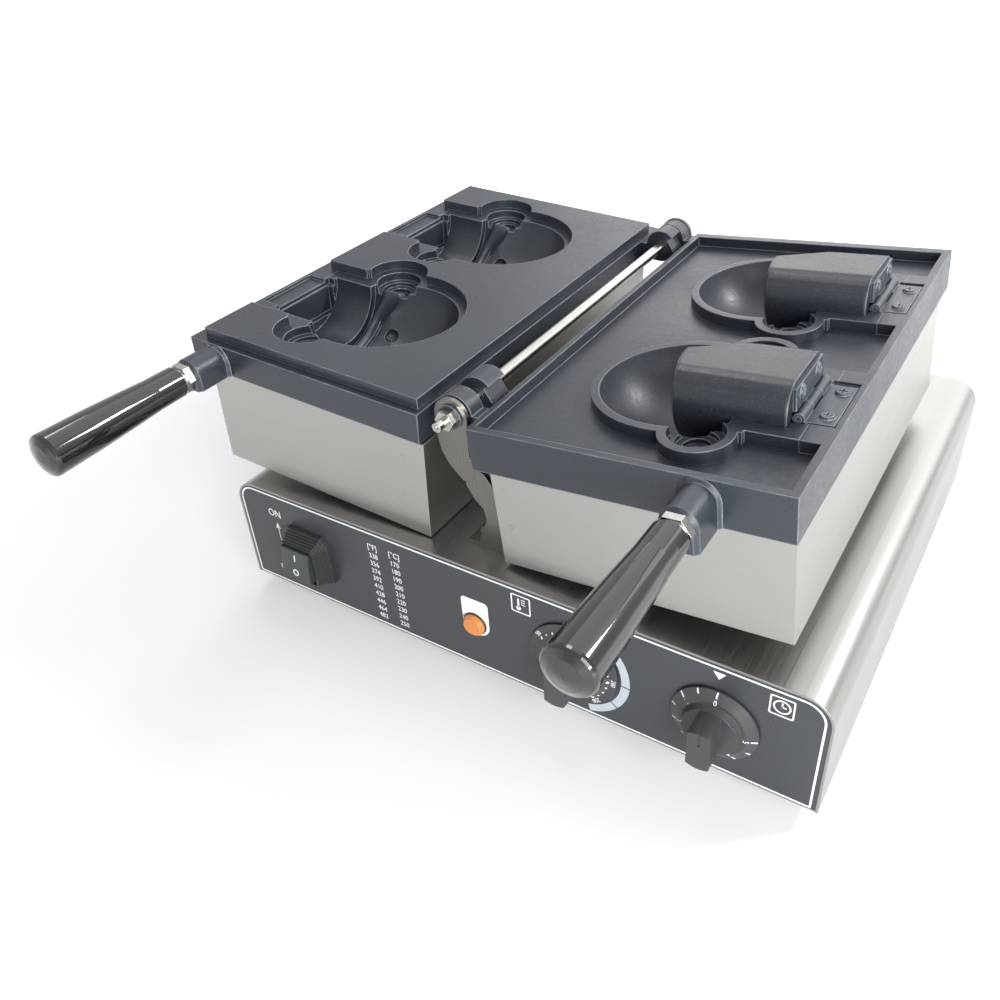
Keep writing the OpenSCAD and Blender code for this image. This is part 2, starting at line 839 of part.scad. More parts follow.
module clamp_screws() {
    z1 = -pod_dep - 2 * heat_r - 2 * run - clamp_t;
    clamp_at() union() {
        translate([0, 0, z1 - 3]) cylinder(r = 4.5, h = 3);
        translate([0, 0, z1 - e]) cylinder(r = screw_r, h = clamp_t + 2 * heat_r + 5);
    }
}

module stud(x, z) {
    translate([x, 0, z]) union() {
        hex_y(boss_y - nut_t, boss_y, 17);
        cyl_y(grip_y1, boss_y - nut_t + e, 7.6);
        cyl_y(grip_y1 - 40, grip_y1 + e, 4);
        cyl_y(boss_y - e, plate_y0 - 2, 4);
    }
}

module grip(x, z) {
    translate([x, 0, z]) difference() {
        rotate([90, 0, 0]) rotate_extrude($fn = 72) polygon([
            [0, -grip_y1], [grip_neck_r - 1.5, -grip_y1], [grip_neck_r, -grip_y1 + 1.5],
            [grip_neck_r + 0.3, -grip_y1 + 20], [grip_neck_r + 1.5, -grip_y1 + 42],
            [grip_r - 0.7, -grip_y1 + 66], [grip_r, -grip_y0 - 6], [grip_r - 0.3, -grip_y0 - 4.6],
            [grip_r - 1.1, -grip_y0 - 3.6], [grip_r - 5, -grip_y0 - 1.8],
            [grip_r - 10, -grip_y0 - 0.5], [0, -grip_y0]]);
        cyl_y(grip_y1 - 41, 0, 4 + run);
    }
}

// ---- left half ----
module left_plate_body() {
    difference() {
        box(plate_in_l, plate_out, plate_y0, plate_y1, -plate_l_t, -g2);
        box(plate_in_l + skirt_w, plate_out - skirt_w, plate_y0 + skirt_w,
            plate_y1 - skirt_w, -plate_l_t - 1, -slab_l);
        at_cavs() {
            translate([0, 0, -slab_l - 1]) linear_extrude(height = slab_l + 2)
                insert_plan(rim_gap);
            box(core_x1 + 6, plate_out - 2.5, -24, 24, -2.4, 1);
        }
        posts(house_l0, house_l1, -slab_l - 1) cylinder(r = screw_r + run, h = 7);
    }
}

// raised block on the left plate, open where the rims and lands of the other plate go in
module left_block_body() {
    difference() {
        box(block_x0, block_x1, block_y0, block_y1, -g2, block_h);
        at_cavs() {
            translate([0, 0, -g2 - 1]) linear_extrude(height = block_h + 3) rim_plan(rim_gap);
            translate([0, 0, -g2 - 1]) linear_extrude(height = g2 + 2) insert_plan(rim_gap);
            box(land_x - 1, plate_out + 1, -land_w - rim_gap, land_w + rim_gap, -g2 - 1,
                block_h + 2);
        }
    }
}

// pivot lug with a front bevel and a rounded head
module hook_lug(y) {
    difference() {
        union() {
            cyl_y(y[0], y[1], lug_r);
            box(0, plate_in_l, y[0], y[1], -lug_r, -g2);
            box(plate_in_l - 2.6, plate_in_l, y[0], y[1], -plate_l_t, -g2);
        }
        cyl_y(y[0] - 1, y[1] + 1, shaft_d / 2 + run + 0.02);
        rotate([0, 35, 0]) box(-lug_r - 2, -7.6, y[0] - 1, y[1] + 1, -lug_r - 2, 2);
    }
}

module left_plate() {
    color([0.35, 0.37, 0.4]) row()
    in_left() mx(-1) difference() {
        left_plate_body();
        boss_slot(handle_l_x, handle_l_z);
    }
}

module left_block() {
    color([0.35, 0.37, 0.4]) row()
    in_left() mx(-1) left_block_body();
}

module left_mould(i) {
    in_left() mx(-1) translate([0, cav_y + i * pitch, 0]) difference() {
        insert_body(rim_gap - fit_gap, slab_l, -g2);
        translate([0, 0, -g2]) fish_cut();
        cyl_x(seat_x0 - e, core_x1 + 3, core_r + seat_gap);
        box(core_x1 + 2.9, core_x1 + 7.5, -25.5, 25.5, -24, 1);
        box(core_x1 - 1, core_x1 + 8.5, -28, 28, -5.2, 1);
        box(core_x1 + 6, plate_out - 2.5, -24, 24, -2.4, 1);
        translate([eye_x, 22, -29]) sphere(r = 5.5);
    }
}

module left_front_mould() {
    color([0.33, 0.35, 0.38]) row()
    left_mould(0);
}

module left_rear_mould() {
    color([0.33, 0.35, 0.38]) row()
    left_mould(1);
}

module left_lugs() {
    color([0.33, 0.35, 0.38]) row()
    in_left() mx(-1) {
        hook_lug(lug2_y);
        hook_lug(lug3_y);
        handle_boss(handle_l_x, handle_l_z, plate_l_t);
    }
}

module left_housing() {
    color([0.72, 0.71, 0.69]) row()
    in_left() mx(-1) housing(house_l0, house_l1);
}

module left_heater() {
    color([0.5, 0.5, 0.48]) row()
    in_left() mx(-1) heater();
}

module left_clamp() {
    color([0.6, 0.6, 0.6]) row()
    in_left() mx(-1) clamp_plate();
}

module left_clamp_screws() {
    color([0.6, 0.6, 0.6]) row()
    in_left() mx(-1) clamp_screws();
}

module left_screws() {
    color([0.6, 0.6, 0.6]) row()
    in_left() mx(-1) screw_set(house_l0, house_l1, slab_l);
}

module left_stud() {
    color([0.8, 0.8, 0.8]) row()
    in_left() mx(-1) stud(handle_l_x, handle_l_z);
}

module left_grip() {
    color([0.05, 0.05, 0.05]) row()
    in_left() mx(-1) grip(handle_l_x, handle_l_z);
}

// ---- right half ----
module right_plate_body() {
    difference() {
        union() {
            difference() {
                box(plate_in_r, plate_out, plate_y0, plate_y1, -plate_r_t, -g2);
                box(plate_in_r + skirt_w, plate_out - skirt_w, plate_y0 + skirt_w,
                    plate_y1 - skirt_w, -plate_r_t - 1, -slab_r);
                box(tray_x0, tray_x1, tray_y0, tray_y1, -tray_dep, 1);
            }
            at_cavs() box(insert_x1 - 4, plate_out - 1, -land_w, land_w, -tray_dep - 1, -g2);
        }
        at_cavs() {
            translate([0, 0, -slab_r - 1]) linear_extrude(height = slab_r + 2)
                insert_plan(fit_gap);
            box(pin_x + knuckle_r, plate_out - 3.5, -leaf_w - 1.4, leaf_w + 5,
                -leaf_t - g2, 1);
            for (y = [-13.5, 13.5])
                translate([leaf_screw_x, y, -12]) cylinder(r = 1.9 + run, h = 14);
        }
        posts(house_r0, house_r1, -slab_r - 1) cylinder(r = screw_r + run, h = 7);
    }
}

module ring_lug(y) {
    difference() {
        union() {
            cyl_y(y[0], y[1], lug_r);
            box(0, plate_in_r, y[0], y[1], -lug_r, -g2);
            box(plate_in_r - 4.4, plate_in_r, y[0], y[1], -plate_r_t, -g2);
        }
        cyl_y(y[0] - 1, y[1] + 1, shaft_d / 2 + run + 0.02);
    }
}

module right_plate() {
    color([0.35, 0.37, 0.4]) row()
    in_right() difference() {
        right_plate_body();
        boss_slot(handle_r_x, handle_r_z);
    }
}

module right_mould(i) {
    on_cav(i) difference() {
        insert_body(0, slab_r, -g2);
        translate([0, 0, -g2]) fish_cut();
        cyl_x(seat_x0 - e, seat_x1, core_r + seat_gap);
        box(core_x1 + 0.4, pin_x + knuckle_r + 0.5, -24.2, 24.2, -2.6, 1);
        box(pin_x + knuckle_r, plate_out - 3.5, -leaf_w - 1.4, leaf_w + 5, -leaf_t - g2, 1);
    }
}

module right_front_mould() {
    color([0.33, 0.35, 0.38]) row()
    right_mould(0);
}

module right_rear_mould() {
    color([0.33, 0.35, 0.38]) row()
    right_mould(1);
}

module right_lugs() {
    color([0.33, 0.35, 0.38]) row()
    in_right() {
        ring_lug(lug1_y);
        ring_lug(lug4_y);
        handle_boss(handle_r_x, handle_r_z, plate_r_t);
    }
}

module right_housing() {
    color([0.72, 0.71, 0.69]) row()
    in_right() housing(house_r0, house_r1);
}

module right_heater() {
    color([0.5, 0.5, 0.48]) row()
    in_right() heater();
}

module right_clamp() {
    color([0.6, 0.6, 0.6]) row()
    in_right() clamp_plate();
}

module right_clamp_screws() {
    color([0.6, 0.6, 0.6]) row()
    in_right() clamp_screws();
}

module right_screws() {
    color([0.6, 0.6, 0.6]) row()
    in_right() screw_set(house_r0, house_r1, slab_r);
}

module right_stud() {
    color([0.8, 0.8, 0.8]) row()
    in_right() stud(handle_r_x, handle_r_z);
}

module right_grip() {
    color([0.05, 0.05, 0.05]) row()
    in_right() grip(handle_r_x, handle_r_z);
}

// ---- butt hinges and cores ----
knuckle_cut = [-22.5, -8, 8, 22.5];
k_gap = 0.3;

module land_leaf() {
    difference() {
        union() {
            box(pin_x + knuckle_r + 0.4, plate_out - 4, -leaf_w, leaf_w, -leaf_t - g2, -g2);
            for (k = [0, 2]) {
                y0 = knuckle_cut[k];
                y1 = knuckle_cut[k + 1];
                translate([pin_x, 0, pin_z]) cyl_y(y0, y1, knuckle_r);
                box(pin_x, pin_x + knuckle_r + 1, y0, y1, -leaf_t, -g2);
            }
        }
        translate([pin_x, 0, pin_z]) cyl_y(-30, 30, pin_r + 0.02);
        for (y = [-13.5, 13.5])
            translate([leaf_screw_x, y, -6]) cylinder(r = 1.9 + run, h = 8);
    }
}

module leaf_pin() {
    translate([pin_x, 0, pin_z]) union() {
        cyl_y(knuckle_cut[0], knuckle_cut[3], pin_r);
        cyl_y(knuckle_cut[3], knuckle_cut[3] + 1.2, 2.3);
    }
}

module land_screws() {
    for (y = [-13.5, 13.5]) translate([leaf_screw_x, y, 0]) difference() {
        union() {
            translate([0, 0, -11]) cylinder(r = 1.9, h = 11);
            translate([0, 0, -g2]) cylinder(r1 = 4.3, r2 = 3.2, h = 1.5);
        }
        translate([0, 0, 1]) cube([1, 5, 1], center = true);
        translate([0, 0, 1]) cube([5, 1, 1], center = true);
    }
}

module core_leaf() {
    difference() {
        union() {
            box(core_x1, core_x1 + leaf_t, -leaf_w, leaf_w, pin_z + knuckle_r + 0.4, leaf_top);
            translate([pin_x, 0, pin_z])
                cyl_y(knuckle_cut[1] + k_gap, knuckle_cut[2] - k_gap, knuckle_r);
            box(core_x1 + 0.4, core_x1 + leaf_t, knuckle_cut[1] + k_gap, knuckle_cut[2] - k_gap,
                pin_z, pin_z + knuckle_r + 1);
        }
        translate([pin_x, 0, pin_z]) cyl_y(-30, 30, pin_r + run);
        for (y = [-13, 13])
            translate([0, y, 12.5]) cyl_x(core_x1 - 1, core_x1 + 5, 1.9 + run);
    }
}

module core_screws() {
    for (y = [-13, 13]) translate([0, y, 12.5]) difference() {
        union() {
            cyl_x(core_x1 - 10, core_x1 + leaf_t, 1.9);
            translate([core_x1 + leaf_t, 0, 0]) rotate([0, 90, 0])
                cylinder(r1 = 4.3, r2 = 3.2, h = 1.5);
        }
        translate([core_x1 + leaf_t + 1.5, 0, 0]) cube([1, 5, 1], center = true);
        translate([core_x1 + leaf_t + 1.5, 0, 0]) cube([1, 1, 5], center = true);
    }
}

module core_block() {
    difference() {
        intersection() {
            cyl_x(core_x0, core_x1, core_r);
            translate([core_x0 + core_nose_r, 0, 0]) sphere(r = core_nose_r, $fn = 96);
            translate([core_x0 - 1, 0, 0]) rotate([90, 0, 90])
                linear_extrude(height = core_x1 - core_x0 + 2) polygon([
                    [-core_r - 1, -core_r - 1], [core_r + 1, -core_r - 1], [core_r + 1, 5],
                    [core_r - 2.8, core_top - 7.5], [core_r - 6, core_top - 4],
                    [core_r - 9.5, core_top - 1.5], [core_r - 13.5, core_top],
                    [-core_r + 13.5, core_top], [-core_r + 9.5, core_top - 1.5],
                    [-core_r + 6, core_top - 4], [-core_r + 2.8, core_top - 7.5],
                    [-core_r - 1, 5]]);
        }
        // the rear corner of the nose falls away towards the gill
        translate([core_taper_at[0], core_taper_at[1], core_top]) rotate([0, 0, 24.6])
            rotate([core_taper, 0, 0]) box(-45, 45, 0, 60, -60, 60);
        for (y = [-13, 13])
            translate([0, y, 12.5]) cyl_x(core_x1 - 11, core_x1 + 5, 1.9 + run);
        box(core_x1 - 0.6, core_x1 + 1, -leaf_w - 2, leaf_w + 2, pin_z - knuckle_r - 1,
            pin_z + knuckle_r + 0.4);
    }
}

module on_cav(i) {
    in_right() translate([0, cav_y + i * pitch, 0]) children();
}

module land_leaves() {
    color([0.45, 0.46, 0.48]) row()
    for (i = [0, 1]) on_cav(i) land_leaf();
}

module leaf_screws() {
    color([0.5, 0.5, 0.5]) row()
    for (i = [0, 1]) on_cav(i) land_screws();
}

module leaf_pins() {
    color([0.6, 0.6, 0.6]) row()
    for (i = [0, 1]) on_cav(i) leaf_pin();
}

module front_core() {
    color([0.38, 0.4, 0.43]) row()
    on_cav(0) core_block();
}

module front_core_leaf() {
    color([0.45, 0.46, 0.48]) row()
    on_cav(0) core_leaf();
}

module front_core_screws() {
    color([0.5, 0.5, 0.5]) row()
    on_cav(0) core_screws();
}

module rear_core() {
    color([0.38, 0.4, 0.43]) row()
    on_cav(1) core_block();
}

module rear_core_leaf() {
    color([0.45, 0.46, 0.48]) row()
    on_cav(1) core_leaf();
}

module rear_core_screws() {
    color([0.5, 0.5, 0.5]) row()
    on_cav(1) core_screws();
}

// ---- the chosen node ----
base_shell();
front_panel();
panel_overlay();
rear_panel();
bottom_plate();
feet();
foot_screws();
rest_pads();
front_bracket();
rear_bracket();
bracket_bolts();
hinge_shaft();
shaft_nuts();
shaft_washers();
switch_body();
switch_boot();
rocker();
lamp_body();
lamp_lens();
control_bodies();
temp_spindle();
temp_knob();
timer_spindle();
timer_knob();
bush_nuts();
terminal_block();
cable_gland();
gland_nut();
left_plate();
left_block();
left_front_mould();
left_rear_mould();
left_lugs();
left_housing();
left_heater();
left_clamp();
left_clamp_screws();
left_screws();
left_stud();
left_grip();
right_plate();
right_front_mould();
right_rear_mould();
right_lugs();
right_housing();
right_heater();
right_clamp();
right_clamp_screws();
right_screws();
right_stud();
right_grip();
land_leaves();
leaf_screws();
leaf_pins();
front_core();
front_core_leaf();
front_core_screws();
rear_core();
rear_core_leaf();
rear_core_screws();
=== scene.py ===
"""Looks of a waffle cone maker: two open mould halves on a steel base with a dark panel."""
import json
import math

import bmesh
import bpy
from mathutils import Matrix, Vector


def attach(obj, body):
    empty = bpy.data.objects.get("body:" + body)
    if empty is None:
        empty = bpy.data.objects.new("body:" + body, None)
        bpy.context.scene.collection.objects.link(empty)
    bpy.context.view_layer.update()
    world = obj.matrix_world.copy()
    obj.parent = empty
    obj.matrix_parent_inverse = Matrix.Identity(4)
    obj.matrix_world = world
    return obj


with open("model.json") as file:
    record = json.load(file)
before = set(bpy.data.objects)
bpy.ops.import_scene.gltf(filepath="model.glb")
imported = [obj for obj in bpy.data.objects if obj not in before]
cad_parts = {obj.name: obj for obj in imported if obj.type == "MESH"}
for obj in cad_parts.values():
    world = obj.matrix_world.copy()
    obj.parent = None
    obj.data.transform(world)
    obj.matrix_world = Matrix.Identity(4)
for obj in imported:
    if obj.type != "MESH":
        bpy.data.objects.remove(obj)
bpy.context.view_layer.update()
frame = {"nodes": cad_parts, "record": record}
NODES = frame["nodes"]
MM = 0.001

# ---------- frames, in millimetres ----------
# BASE: X from the middle of the box, Y from its front panel, Z above its underside.
# LEFT and RIGHT: a half's own frame, X outwards from the hinge, Y as in BASE, Z up from its face.
ORG_X, ORG_Y = -10.8798, -53.5      # where the part's frame lies in the source's own frame
FOOT, HALF_D = 12.0, 179.0          # foot height and half the depth of the box
HINGE_X, HINGE_Z = -28.5, 174.3
TILT_L, TILT_R = math.radians(2.8), math.radians(5.2)
BASE = Matrix.Translation(Vector((-ORG_X, -HALF_D - ORG_Y, FOOT)) * MM) @ Matrix.Scale(MM, 4)
LEFT = (BASE @ Matrix.Translation((HINGE_X, 0, HINGE_Z)) @ Matrix.Rotation(TILT_L, 4, "Y")
        @ Matrix.Scale(-1, 4, (1, 0, 0)))
RIGHT = BASE @ Matrix.Translation((HINGE_X, 0, HINGE_Z)) @ Matrix.Rotation(-TILT_R, 4, "Y")


# ---------- camera, fitted to the photograph ----------
EYE = (256.117, -334.860, 449.472)                      # in BASE
HEADING, DIP, ROLL = -0.599309935, 0.606440165, -0.0668655579
PHOTO, FOCAL = 1000, 932.194                            # picture width and focal length, pixels
MIDDLE = (515.207, 469.705)                             # principal point, pixels
SENSOR = 36                                             # mm


def make_camera():
    data = bpy.data.cameras.new("view")
    cam = bpy.data.objects.new("view", data)
    bpy.context.scene.collection.objects.link(cam)
    ahead = Vector((math.sin(HEADING) * math.cos(DIP), math.cos(HEADING) * math.cos(DIP),
                    -math.sin(DIP)))
    level = Vector((math.cos(HEADING), -math.sin(HEADING), 0))
    above = level.cross(ahead)
    right = math.cos(ROLL) * level + math.sin(ROLL) * above
    up = -math.sin(ROLL) * level + math.cos(ROLL) * above
    turn = Matrix((right, up, -ahead)).transposed().to_4x4()
    turn.translation = BASE @ Vector(EYE)
    cam.matrix_world = turn
    data.sensor_width = SENSOR
    data.sensor_fit = "AUTO"
    data.lens = SENSOR * FOCAL / PHOTO
    data.shift_x = -(MIDDLE[0] - PHOTO / 2) / PHOTO
    data.shift_y = (MIDDLE[1] - PHOTO / 2) / PHOTO
    data.clip_start, data.clip_end = 0.01, 30
    bpy.context.scene.camera = cam


make_camera()


# ---------- node helpers ----------
def lin(h):
    """An sRGB hex colour as linear RGBA."""
    c = [int(h[i:i + 2], 16) / 255 for i in (0, 2, 4)]
    return [v / 12.92 if v <= 0.04045 else ((v + 0.055) / 1.055) ** 2.4 for v in c] + [1]


class Mat:
    """One procedural material; calls add nodes and return their output socket."""

    def __init__(self, name, rough=0.5, metal=0.0, **fixed):
        self.m = bpy.data.materials.new(name)
        self.m.use_nodes = True
        self.t = self.m.node_tree
        self.t.nodes.clear()
        self.out = self.t.nodes.new("ShaderNodeOutputMaterial")
        self.b = self.t.nodes.new("ShaderNodeBsdfPrincipled")
        self.t.links.new(self.b.outputs[0], self.out.inputs[0])
        self.b.inputs["Roughness"].default_value = rough
        self.b.inputs["Metallic"].default_value = metal
        for k, v in fixed.items():
            self.b.inputs[k.replace("_", " ")].default_value = v
        self.obj = self.add("ShaderNodeTexCoord").outputs["Object"]

    def add(self, kind, props=None, **ins):
        n = self.t.nodes.new(kind)
        for k, v in (props or {}).items():
            setattr(n, k, v)
        for k, v in ins.items():
            self.put(n, k.replace("_", " "), v)
        return n

    def put(self, n, key, v):
        sock = n.inputs[int(key[1:])] if key[0] == "i" and key[1:].isdigit() else n.inputs[key]
        if isinstance(v, bpy.types.NodeSocket):
            self.t.links.new(v, sock)
        else:
            sock.default_value = v

    def noise(self, scale, detail=3, rough=0.5):
        """Noise on the object's own coordinates; three scales stretch it along the axes."""
        at, even = self.obj, scale
        if isinstance(scale, tuple):
            at = self.add("ShaderNodeMapping", Vector=self.obj, Scale=scale).outputs[0]
            even = 1.0
        return self.add("ShaderNodeTexNoise", Vector=at, Scale=even, Detail=detail,
                        Roughness=rough).outputs[0]

    def ramp(self, f, stops):
        n = self.add("ShaderNodeValToRGB", i0=f)
        e = n.color_ramp.elements
        while len(e) < len(stops):
            e.new(0.5)
        for k, (p, c) in zip(e, stops):
            k.position = p
            k.color = c if isinstance(c, (list, tuple)) else (c, c, c, 1)
        return n.outputs[0]

    def span(self, f, a, b, lo=0.3, hi=0.7):
        """a to b while f goes from lo to hi."""
        return self.add("ShaderNodeMapRange", i0=f, i1=lo, i2=hi, i3=a, i4=b).outputs[0]

    def math(self, op, a, b):
        return self.add("ShaderNodeMath", {"operation": op}, i0=a, i1=b).outputs[0]

    def mix(self, f, a, b):
        return self.add("ShaderNodeMix", {"data_type": "RGBA"}, i0=f, i6=a, i7=b).outputs[2]

    def bump(self, h, dist, strength, normal):
        return self.add("ShaderNodeBump", Height=h, Distance=dist, Strength=strength,
                        Normal=normal).outputs[0]

    def edge(self, radius):
        """The normal with edges rounded to the radius, in metres."""
        return self.add("ShaderNodeBevel", {"samples": 6}, Radius=radius).outputs[0]

    def rims(self, radius):
        """1 on edges and creases narrower than the radius, 0 on flats."""
        flat = self.add("ShaderNodeNewGeometry").outputs["Normal"]
        dot = self.add("ShaderNodeVectorMath", {"operation": "DOT_PRODUCT"},
                       i0=self.edge(radius), i1=flat).outputs["Value"]
        return self.span(dot, 1.0, 0.0, 0.84, 0.995)

    def set(self, **ins):
        for k, v in ins.items():
            self.put(self.b, k.replace("_", " "), v)
        return self.m


def shade(c, k):
    """A linear colour made darker or paler."""
    return [min(1, v * k) for v in c[:3]] + [1]


def tint(m, colour, vary):
    """The colour, a little darker and paler in slow clouds."""
    c = lin(colour)
    f = m.noise(18.0, 4, 0.6)
    return m.ramp(f, [(0.3, shade(c, 1 - vary)), (0.7, shade(c, 1 + vary))])


def brushed(name, colour, streak, rough, vary):
    """Brushed sheet: fine streaks, long where streak is low, with faint clouds and soft edges."""
    m = Mat(name, metal=1.0)
    fine = m.noise(streak, 2, 0.6)
    broad = m.noise(tuple(s * 0.13 for s in streak), 3, 0.5)
    cloud = m.noise(9.0, 3, 0.5)
    f = m.math("ADD", m.math("MULTIPLY", fine, 0.5), m.math("MULTIPLY", broad, 0.5))
    c = lin(colour)
    col = m.ramp(f, [(0.3, shade(c, 1 - vary)), (0.7, shade(c, 1 + vary))])
    col = m.mix(m.span(cloud, 0.0, 0.25), col, shade(c, 0.86))
    r = m.math("ADD", m.span(fine, rough[0], rough[1]), m.span(cloud, -0.03, 0.05))
    return m.set(Base_Color=col, Roughness=r,
                 Normal=m.bump(f, 0.00006, 0.5, m.edge(0.0006)))


SPECK, EDGE_HIGHLIGHT = "8d949e", "a2a9b2"        # pale specks, and the pale paint of the coating's painted edge highlights


def coated(name, colour, rough=(0.31, 0.43), grain=0.00013, bevel=0.0011):
    """Dark non-stick coating over a casting: orange-peel grain, pale specks, edges painted paler as
    highlights.
    """
    m = Mat(name, Specular_IOR_Level=0.6)
    fine = m.noise(1500.0, 2, 0.6)
    peel = m.noise(340.0, 3, 0.55)
    cloud = m.noise(14.0, 4, 0.55)
    c = lin(colour)
    col = m.ramp(cloud, [(0.3, shade(c, 0.86)), (0.7, shade(c, 1.12))])
    speck = m.ramp(fine, [(0.57, 0.0), (0.70, 1.0)])
    col = m.mix(m.math("MULTIPLY", speck, 0.15), col, lin(SPECK))
    # painted edge highlight: edges and creases turn paler and glossier
    rim = m.math("MULTIPLY", m.rims(0.0012), m.span(m.noise(90.0, 3), 0.3, 0.9))
    col = m.mix(rim, col, lin(EDGE_HIGHLIGHT))
    h = m.math("ADD", m.math("MULTIPLY", peel, 0.7), m.math("MULTIPLY", fine, 0.3))
    r = m.math("ADD", m.span(cloud, rough[0], rough[1]), m.span(peel, -0.05, 0.05))
    r = m.math("SUBTRACT", r, m.math("MULTIPLY", rim, 0.16))
    return m.set(Base_Color=col, Roughness=r, Normal=m.bump(h, grain, 0.9, m.edge(bevel)))


def plastic(name, colour, rough, vary=0.08, grain=0.00003, scale=500.0, bevel=0.0006, **fixed):
    """Moulded plastic, rubber or lacquer: slow tone changes, fine moulding grain, soft edges."""
    m = Mat(name, **fixed)
    g = m.noise(scale, 2, 0.5)
    r = m.math("ADD", m.span(m.noise(22.0, 3), rough * 0.85, rough * 1.15), m.span(g, -0.02, 0.02))
    return m.set(Base_Color=tint(m, colour, vary), Roughness=r,
                 Normal=m.bump(g, grain, 0.6, m.edge(bevel)))


def turned(name, colour, rough=(0.16, 0.28)):
    """Plated or turned metal: fine rings and light wear."""
    m = Mat(name, metal=1.0)
    f = m.noise((60.0, 1500.0, 60.0), 2, 0.5)
    wear = m.noise(120.0, 4, 0.6)
    c = lin(colour)
    col = m.ramp(wear, [(0.3, shade(c, 0.84)), (0.7, c)])
    return m.set(Base_Color=col, Roughness=m.span(f, rough[0], rough[1]),
                 Normal=m.bump(f, 0.00003, 0.4, m.edge(0.0004)))


# sizes in metres, noise scales per metre, colours in sRGB
MATS = {
    "steel_base": brushed("brushed_base", "a8a7a4", (900.0, 5.0, 900.0), (0.28, 0.4),
                          vary=0.04),
    "steel_house": brushed("brushed_housing", "b3b3ae", (5.0, 6.0, 900.0), (0.3, 0.42),
                           vary=0.025),
    # one steel sheet in three tones; the bracket's much darker tone is painted shade
    "steel_bracket_shaded": brushed("brushed_bracket_shaded", "7d7b76", (700.0, 700.0, 9.0), (0.24, 0.38),
                             vary=0.04),
    "steel_bright": turned("bright_steel", "bdbbb6"),
    "steel_zinc": turned("zinc_steel", "b4b2ac", (0.28, 0.42)),
    "cast_plate": coated("cast_plate_coating", "2a3038"),
    "core_cast": coated("core_coating", "23282f", (0.29, 0.4), bevel=0.0028),
    "leaf_dark": coated("leaf_coating", "343a42", (0.3, 0.42), 0.00004, 0.0004),
    "blackened": coated("blackened_steel", "26272a", (0.34, 0.46), 0.00003, 0.0003),
    "print_sheet": plastic("panel_print", "373a3e", 0.34, 0.05, 0.00002, 900.0, 0.0002),
    "bakelite": plastic("grip_black", "0d0e10", 0.3, 0.15, 0.00001, 160.0, 0.0008,
                        Specular_IOR_Level=0.15, Coat_Weight=1.0, Coat_Roughness=0.035,
                        Coat_IOR=1.62),
    "knob_black": plastic("knob_black", "3c3d40", 0.38, 0.1, 0.00004, 700.0),
    "rubber_black": plastic("foot_rubber", "1d1d1e", 0.75, 0.12, 0.00008, 420.0),
    "boot": plastic("switch_boot", "303234", 0.4, 0.1, 0.00003, 300.0, 0.0008,
                    Coat_Weight=0.25, Coat_Roughness=0.25),
    "button": plastic("switch_button", "2e3733", 0.3, 0.12, 0.00003, 90.0, 0.0014,
                      Coat_Weight=0.4, Coat_Roughness=0.2),
    "lens": plastic("lamp_lens", "d07c30", 0.2, 0.14, 0.00004, 200.0, 0.0006,
                    Coat_Weight=0.6, Coat_Roughness=0.1),
    "black_plastic": plastic("black_plastic", "232325", 0.5, 0.1),
    "ceramic": plastic("ceramic_block", "d8d3c4", 0.45, 0.05, 0.00003),
    "heater_sheath": turned("heater_sheath", "6e6a63", (0.45, 0.6)),
}

slot_of = {s["node"]: s["material_slot"] for s in frame["record"]["subparts"]}
for name, o in NODES.items():
    key = slot_of[name]
    if name == "land_leaves":       # coated with the plate, as in the photograph
        key = "leaf_dark"
    if key == "steel_sheet":
        key = ("steel_house" if "housing" in name else
               "steel_bracket_shaded" if "bracket" in name else "steel_base")
    o.data.materials.clear()
    o.data.materials.append(MATS[key])


# ---------- print on the panel and the knobs ----------
SUNK = -0.02            # how far a tile's underside lies in the surface below it
CAP = 0.73              # capital height of the built-in font, per unit of size


